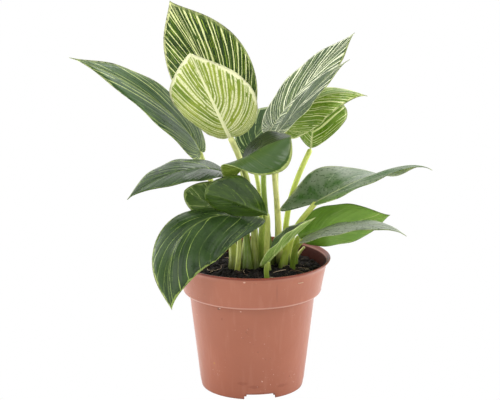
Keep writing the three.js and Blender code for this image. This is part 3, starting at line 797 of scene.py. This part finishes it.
# Every leaf, in millimetres and degrees: the midrib from base to tip, the upper side's direction
# at both ends, half widths, fold and curl of the left and the right half at base and tip, lobe,
# point, blunt and skew of the outline, how far the tip is drawn out, how the side veins run and
# bow, then its finish. PLAIN_LEAF holds what a leaf has where its entry says nothing.
PLAIN_LEAF = dict(curl=((0, 0), (0, 0)), blunt=(0.75, 0.75), point=(2.3, 2.3), skew=(1.3, 1.3),
                  veins=(3.4, 0.24))
LEAVES = {
    "tall_back": dict(
        rib=[(-20, 12, 199), (-24, 14, 227), (-47, 30, 269), (-63, 42, 293)],
        up=[(0.1, -1, 0.15), (0.05, -1, 0.3)], half=(32, 34), fold=((22, 12), (2, 2)),
        curl=((20, 20), (5, 5)), lobe=(0.04, 0.04), point=(2.1, 2.6), tip=0.15, veins=(5.0, 0.38),
        look=dict(upper=RICH, lower=UNDER, cream=0.97, fine=0.97, seed=1.0, lanes=30, widest=0.42,
                  breaks=0.16, rim=0.9, rib=0.6, whole=0.6)),
    "pale_back": dict(
        rib=[(-17, -14, 199), (-30, -24, 229), (-40, -28, 252), (-46, -12, 262)],
        up=[(0.1, 1, 0.1), (0.1, 0.9, -0.4)], half=(32, 32), fold=((8, 8), (8, 8)),
        curl=((30, 30), (30, 30)), lobe=(0.05, 0.05), point=(2.4, 1.9), blunt=(0.9, 1.0),
        skew=(1.6, 0.8), tip=0.1, veins=(4.6, 0.36),
        look=dict(upper=DARK, lower=LIME, cream=0.95, fine=0.95, seed=2.0, lanes=36, widest=0.5,
                  soft=0.35, rim=1.0, rim_wide=1.9, rib=1.0, keel=0.75, gloss=0.36, whole=0.35)),
    "left_long": dict(
        rib=[(-40, 25, 179), (-52, 19, 208), (-94, 2, 244), (-136, -4, 257)],
        up=[(0.4, -0.6, 0.7), (0.5, -0.35, 0.8)], half=(22, 18), fold=((8, 8), (8, 8)),
        curl=((-10, -10), (-10, -10)), lobe=(0.04, 0.04), blunt=(0.8, 1.3), tip=0.6,
        veins=(6.5, 0.4),
        look=dict(upper=LONG, lower=UNDER, cream=0.85, fine=0.35, seed=3.0, lanes=17, widest=0.12,
                  breaks=0.25, rim=0.9, rib=0.4, dusk=0.3, drops=0.3)),
    "left_mid": dict(
        rib=[(-23, -1, 169), (-42, -14, 179), (-70, -26, 174), (-93, -32, 155)],
        up=[(0.1, -0.35, 1), (-0.3, -0.35, 1)], half=(20, 19), fold=((15, 10), (5, 5)),
        curl=((-20, -20), (-20, -20)), lobe=(0.05, 0.05), point=(2.8, 2.3), tip=0.35,
        look=dict(upper=DARK, lower=UNDER, cream=0.04, fine=0.1, seed=4.0, lanes=18, widest=0.08,
                  rim=0.25, rib=0.15, gloss=0.22, drops=0.2)),
    "left_small": dict(
        rib=[(-15, -6, 139), (-26, -7, 144), (-39, -10, 149), (-51, -12, 157)],
        up=[(0.2, -0.95, 0.3), (0.2, -0.95, 0.3)], half=(15, 17), fold=((15, 10), (15, 10)),
        lobe=(0.05, 0.05), point=(1.1, 1.3), blunt=(1.0, 1.0), tip=0.0,
        look=dict(upper=MID, lower=UNDER, cream=0.1, fine=0.3, seed=5.0, lanes=16, widest=0.08,
                  rim=0.8, rib=0.2)),
    "centre_turned": dict(
        rib=[(11, -24, 142), (-3, -36, 150), (-19, -43, 161), (-35, -43, 162)],
        up=[(-0.2, 0.85, 0.45), (-0.3, 0.85, 0.4)], half=(20, 15), fold=((5, 5), (5, 5)),
        curl=((15, 15), (15, 15)), lobe=(0, 0), point=(0.75, 0.75), blunt=(3.2, 1.3),
        skew=(0.65, 0.75), tip=0.0,
        look=dict(upper=DARK, lower=UNDER_DARK, cream=0.0, fine=0.08, seed=6.0, lanes=16,
                  widest=0.08, thinnest=0.03, rim=0.2, rib=0.05, gloss=0.16)),
    "front_drooping": dict(
        rib=[(10, -14, 135), (-34, -38, 156), (-73, -62, 137), (-59, -64, 79)],
        up=[(0, -0.6, 1), (-0.1, -1, 0.1)], half=(31, 22), fold=((0, 0), (-30, -10)),
        curl=((-25, -25), (-25, -25)), lobe=(0, 0), point=(2.6, 2.2), blunt=(1.2, 2.2),
        skew=(0.95, 1.1), tip=0.3,
        look=dict(upper=DARK, lower=UNDER, cream=0.9, fine=0.15, seed=7.0, lanes=13, widest=0.03,
                  thinnest=0.015, soft=0.035, breaks=0.1, rim=0.9, rib=0.3, drops=0.3)),
    "centre_arched": dict(
        rib=[(-7, -18, 177), (-1, -28, 194), (17, -44, 201), (28, -50, 207)],
        up=[(-0.2, -0.5, 0.85), (-0.2, -0.5, 0.85)], half=(15, 31), fold=((50, -30), (60, -32)),
        curl=((0, -10), (0, -10)), lobe=(0, 0.45), point=(1.3, 0.85), blunt=(3, 0.7),
        skew=(0.8, 0.45), tip=0.0,
        # Painted shade: the left, far half wears the SHADE colours, and the right, near half is tinted a
        # lighter green.
        look=dict(upper=SHADE, lower=UNDER_LIME, cream=0.4, fine=0.2, seed=8.0, lanes=15,
                  widest=0.04, thinnest=0.02, soft=0.05, rim=0.6, rib=0.5,
                  near=((0.05, 0.11, 0.018), 0.7, 1.0))),
    "inner_dark": dict(
        rib=[(0, 28, 171), (-1, 34, 184), (6, 46, 196), (19, 58, 209)],
        up=[(-0.2, -1, 0.4), (-0.2, -1, 0.4)], half=(16, 16), fold=((10, 10), (10, 10)),
        lobe=(0.05, 0.05), tip=0.3,
        look=dict(upper=BLUE, lower=UNDER, cream=0.8, fine=0.5, seed=9.0, lanes=18, widest=0.15,
                  rim=0.6, rib=0.3)),
    "right_tall": dict(
        rib=[(14, 26, 195), (27, 30, 216), (51, 40, 240), (79, 50, 267)],
        up=[(-0.8, -0.5, 0.3), (-0.8, -0.5, 0.3)], half=(22, 25), fold=((3, 3), (18, 0)),
        lobe=(0.05, 0.05), tip=0.5,
        look=dict(upper=GREY, lower=UNDER, cream=0.95, fine=0.6, seed=10.0, lanes=26, widest=0.3,
                  breaks=0.15, rim=0.8, rib=0.5)),
    "right_narrow": dict(
        rib=[(19, -4, 200), (36, -7, 221), (52, -10, 243), (72, -12, 257)],
        up=[(-0.7, -0.3, 0.6), (-0.7, -0.3, 0.6)], half=(12, 14), fold=((0, 0), (0, 0)),
        lobe=(0.03, 0.03), point=(3, 3), tip=0.5,
        look=dict(upper=GREY, lower=UNDER, cream=0.4, fine=0.4, seed=11.0, lanes=22, widest=0.2,
                  rim=0.9, rib=0.4)),
    "right_upper": dict(
        rib=[(26, 4, 199), (38, 0, 225), (58, -5, 236), (86, -10, 229)],
        up=[(0.2, -0.9, 0.5), (0.2, -0.7, 0.8)], half=(11, 18), fold=((-20, -30), (-5, -5)),
        curl=((-10, -10), (-10, -10)), lobe=(0, 0.06), blunt=(1.3, 0.75), tip=0.55,
        look=dict(upper=FRESH, lower=UNDER, cream=0.9, fine=0.7, seed=12.0, lanes=26, widest=0.32,
                  rim=0.9, rib=0.8)),
    "right_small": dict(
        rib=[(45, 18, 183), (46, 20, 195), (48, 32, 208), (56, 50, 222)],
        up=[(0, -1, 0.6), (0.1, -1, 0.6)], half=(20, 24), fold=((10, 10), (10, 10)),
        lobe=(0, 0), point=(1.9, 1.9), blunt=(1.1, 1.1), skew=(0.8, 0.8), tip=0.1,
        look=dict(upper=FRESH, lower=UNDER, cream=0.8, fine=0.5, seed=13.0, lanes=16, widest=0.3,
                  rib=0.8)),
    "right_long": dict(
        rib=[(48, -16, 149), (64, -20, 159), (113, -24, 190), (133, -34, 178)],
        up=[(-0.2, -0.3, 1), (0.2, -0.3, 1)], half=(31, 12), fold=((36, -98), (5, 5)),
        curl=((0, 0), (-10, -10)), lobe=(0.6, 0.02), point=(5.5, 2.0), blunt=(2.2, 0.75),
        skew=(0.85, 1.3), tip=0.4,
        look=dict(upper=GREEN_AND_SHEEN, lower=UNDER, cream=0.0, fine=0.15, seed=14.0, lanes=18,
                  widest=0.12, rib=0.7, near=((0.12, 0.24, 0.02), 0.8, 0.3), drops=0.7)),
    "right_low_plain": dict(
        rib=[(36, 4, 117), (56, 2, 126), (84, 0, 128), (105, -4, 136)],
        up=[(-0.1, 0.85, 0.35), (0, 0.85, 0.35)], half=(20, 20), fold=((5, 5), (5, 5)),
        lobe=(0.01, 0.01), tip=0.3,
        look=dict(upper=DARK, lower=UNDER_PLAIN, cream=0.05, fine=0.1, seed=15.0, lanes=16,
                  widest=0.1, rim=0.2, rib=0.2)),
    "right_low_narrow": dict(
        rib=[(38, -18, 120), (58, -24, 133), (91, -30, 143), (115, -36, 128)],
        up=[(0, -0.2, 1), (0.1, -0.2, 1)], half=(16, 14), fold=((-5, -5), (10, 10)),
        curl=((-20, -20), (-20, -20)), lobe=(0.03, 0.03), tip=0.6,
        look=dict(upper=PALE_SHEEN, lower=UNDER, cream=0.05, fine=0.15, seed=16.0, lanes=18,
                  widest=0.1, drops=0.8)),
    "front_folded": dict(
        rib=[(12, -36, 109), (25, -38, 124), (36, -34, 132), (47, -30, 141)],
        up=[(-0.7, 0, 0.7), (-0.7, 0, 0.7)], half=(17, 16), fold=((20, 20), (30, 30)),
        lobe=(0, 0.13), blunt=(2.2, 0.75), tip=0.2,
        look=dict(upper=DARK, lower=UNDER_PALE, cream=0.15, fine=0.2, seed=17.0, lanes=18,
                  widest=0.15, rim=0.8, rib=0.3)),
}


def in_metres(point):
    return tuple(MM * c for c in point)


for name, shape in LEAVES.items():
    leaf = {**PLAIN_LEAF, **shape}
    values = {"Drawn tip": float(leaf["tip"]), "Wave start": leaf["look"]["seed"] * 1.3}
    values["Vein run"], values["Vein bow"] = leaf["veins"]
    for label, point in zip(("Base", "Base handle", "Tip handle", "Tip"), leaf["rib"]):
        values[label] = in_metres(point)
    for label, direction in zip(("Upper at base", "Upper at tip"), leaf["up"]):
        values[label] = tuple(float(c) for c in direction)
    for k, side in enumerate(("Left", "Right")):
        values[f"{side} width"] = leaf["half"][k] * MM
        for bend in ("fold", "curl"):
            values[f"{side} {bend} at base"] = math.radians(leaf[bend][k][0])
            values[f"{side} {bend} at tip"] = math.radians(leaf[bend][k][1])
        for trait in ("lobe", "blunt", "point", "skew"):
            values[f"{side} {trait}"] = float(leaf[trait][k])
    values["Finish"] = leaf_finish(name, **leaf["look"])
    blade = grow(name + "_leaf", blade_tree, values)
    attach(blade, "root")
    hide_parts(name + "_blade")

# The stalks: round, fleshy, yellow-green, thicker where each one sheathes the short stem, and
# grown into the blade at the top. The sprout and the young sheath are made the same way.
WAIST_AT = 0.35
CLOSES_FROM = 0.975
tree, given = new_tree("leaf_stalk", {
    "Foot": "Vector", "Foot handle": "Vector", "Head handle": "Vector", "Head": "Vector",
    "Foot radius": "Float", "Waist radius": "Float", "Head radius": "Float",
    "Steps": 56, "Sides": 20, "Finish": "Material",
}, {"Geometry": "Geometry"})
stalk_tree = tree
line = bent_line(tree, [given[s] for s in ("Foot", "Foot handle", "Head handle", "Head")], 64)
line = node(tree, "GeometryNodeResampleCurve", {"Curve": line, "Count": given["Steps"]})
share = node(tree, "GeometryNodeSplineParameter").output("Factor")
waist, head = given["Waist radius"], given["Head radius"]
girth = given["Foot radius"] + (waist - given["Foot radius"]) * share.ramp(0.0, WAIST_AT)
girth = girth + (head - waist) * share.ramp(WAIST_AT, 1.0, smooth=False)
closing = 1.0 - share.ramp(CLOSES_FROM, 1.0, smooth=False) ** 2.0
girth = girth * closing.math("MAXIMUM", 0.01).math("SQRT")
line = node(tree, "GeometryNodeSetCurveRadius", {"Curve": line, "Radius": girth})
ring = node(tree, "GeometryNodeCurvePrimitiveCircle", {"Resolution": given["Sides"], "Radius": 1})
tube = node(tree, "GeometryNodeCurveToMesh", {
    "Curve": keep(line, "height_share", share), "Profile Curve": ring,
    "Scale": node(tree, "GeometryNodeInputRadius"), "Fill Caps": True,
})
finish_shape(tube, given["Finish"])


def stalk_finish(name, foot_colour, mid_colour, head_colour):
    material, tree = new_finish(name)
    place = object_place(tree)
    up = surface(tree, "height_share")
    ribs = noise(tree, place.vector("MULTIPLY", (1400, 1400, 40)), 1, 2)
    cloud = noise(tree, place, 130, 2)
    colour = blend(tree, up.ramp(0.08, 0.4), foot_colour, mid_colour)
    colour = blend(tree, up.ramp(0.45, 1.0), colour, head_colour)
    colour = blend(tree, ribs.ramp(0.5, 0.75) * 0.2, colour, (0.6, 0.62, 0.22))
    colour = blend(tree, cloud.ramp(0.5, 0.7) * 0.35, colour, (0.13, 0.18, 0.025))
    # Painted shade: the foot of each stalk, where it meets the mix among the other stalks, is darkened.
    colour = blend(tree, 1.0 - up.ramp(0.09, 0.22), colour, (0.07, 0.09, 0.015))
    coat(tree, {"Base Color": colour, "Roughness": 0.36, "Normal": relief(tree, ribs, 0.00015)})
    return material


LIGHT_STALK = stalk_finish("stalk_light", (0.3, 0.35, 0.04), (0.55, 0.62, 0.14), (0.58, 0.64, 0.2))
GREEN_STALK = stalk_finish("stalk_green", (0.13, 0.21, 0.02), (0.19, 0.29, 0.03), (0.38, 0.48, 0.08))
YELLOW_STALK = stalk_finish("stalk_yellow", (0.74, 0.74, 0.24), (0.74, 0.74, 0.26), (0.66, 0.68, 0.22))
OLIVE_STALK = stalk_finish("stalk_olive", (0.15, 0.22, 0.025), (0.46, 0.52, 0.12), (0.5, 0.56, 0.14))
PALE_STALK = stalk_finish("stalk_pale", (0.25, 0.33, 0.045), (0.5, 0.56, 0.14), (0.74, 0.76, 0.3))
LIME_STALK = stalk_finish("stalk_lime", (0.24, 0.34, 0.035), (0.55, 0.66, 0.1), (0.62, 0.7, 0.15))

# Each stalk, in millimetres: its foot in the mix, the two handles of its bend, its radius at the
# foot, a third of the way up and at the blade, and its finish.
FOOT_HEIGHT = 84
STALKS = {
    "tall_back": ((-8, 8), [(0, 11, 125), (-3, 6, 176)], (4.4, 2.3, 1.8), LIGHT_STALK),
    "pale_back": ((1, 1), [(5, 5, 132), (-3, 0, 170)], (5.4, 2.6, 2.2), PALE_STALK),
    "left_long": ((-16, -2), [(-3, -22, 107), (-38, 37, 162)], (6.2, 2.7, 1.8), LIGHT_STALK),
    "left_mid": ((-5, -8), [(0, -16, 113), (-8, 16, 159)], (5.4, 2.6, 1.8), GREEN_STALK),
    "left_small": ((-12.5, -14), [(-9, -19, 117), (-8, -1, 123)], (2.4, 2.0, 1.5), LIGHT_STALK),
    "centre_turned": ((14.5, -13), [(7, -15, 115), (14, -16, 122)], (2.6, 2.2, 1.9), OLIVE_STALK),
    "front_drooping": ((8.5, -4), [(9, -7, 118), (4, -12, 121)], (4.6, 2.8, 2.1), GREEN_STALK),
    "centre_arched": ((2.8, -9.8), [(1, -4, 144), (-1, -12, 158)], (3.4, 2.2, 1.8), OLIVE_STALK),
    "inner_dark": ((7, 14), [(8, 13, 137), (6, 32, 152)], (2.8, 2.2, 1.6), OLIVE_STALK),
    "right_tall": ((13.5, 4), [(14, 1, 128), (2, 11, 160)], (4.4, 2.4, 2.0), GREEN_STALK),
    "right_narrow": ((20, 5), [(25, 8, 131), (11, -13, 173)], (2.8, 2.2, 2.0), YELLOW_STALK),
    "right_upper": ((16.5, 13.5), [(26, 10, 128), (9, 5, 168)], (2.6, 2.1, 1.8), OLIVE_STALK),
    "right_small": ((27, 9), [(21, 15, 133), (33, 14, 158)], (4.0, 2.3, 2.0), LIME_STALK),
    "right_long": ((22, -1), [(27, 3, 124), (39, -11, 135)], (4.2, 2.4, 2.0), LIME_STALK),
    "right_low_plain": ((33, 6), [(33, 7, 105), (32, 5, 111)], (3.6, 2.4, 1.8), GREEN_STALK),
    "right_low_narrow": ((31, -3), [(30, -5, 110), (33, -10, 110)], (2.6, 2.1, 1.6), GREEN_STALK),
    "front_folded": ((13, -36), [(10, -36, 100), (10, -36, 103)], (2.4, 2.0, 1.8), GREEN_STALK),
}


def make_stalk(name, path, radii, finish, replaced):
    values = {"Finish": finish}
    for label, point in zip(("Foot", "Foot handle", "Head handle", "Head"), path):
        values[label] = in_metres(point)
    for label, radius in zip(("Foot radius", "Waist radius", "Head radius"), radii):
        values[label] = radius * MM
    stalk = grow(name, stalk_tree, values)
    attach(stalk, "root")
    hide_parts(replaced)


for name, (foot, handles, radii, finish) in STALKS.items():
    path = [(*foot, FOOT_HEIGHT), *handles, LEAVES[name]["rib"][0]]
    make_stalk(name + "_petiole", path, radii, finish, name + "_stalk")
make_stalk("young_leaf_sheath", [(25, 17, 84), (26, 17, 95), (29, 17, 108), (35, 18, 119)],
           (3.2, 3, 0.7), LIGHT_STALK, "young_sheath")
make_stalk("sprout_stub", [(33, 27, 84), (33, 27, 92), (36, 27, 97), (41, 27, 102)],
           (1.7, 1.6, 0.9), YELLOW_STALK, "sprout")

low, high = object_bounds()
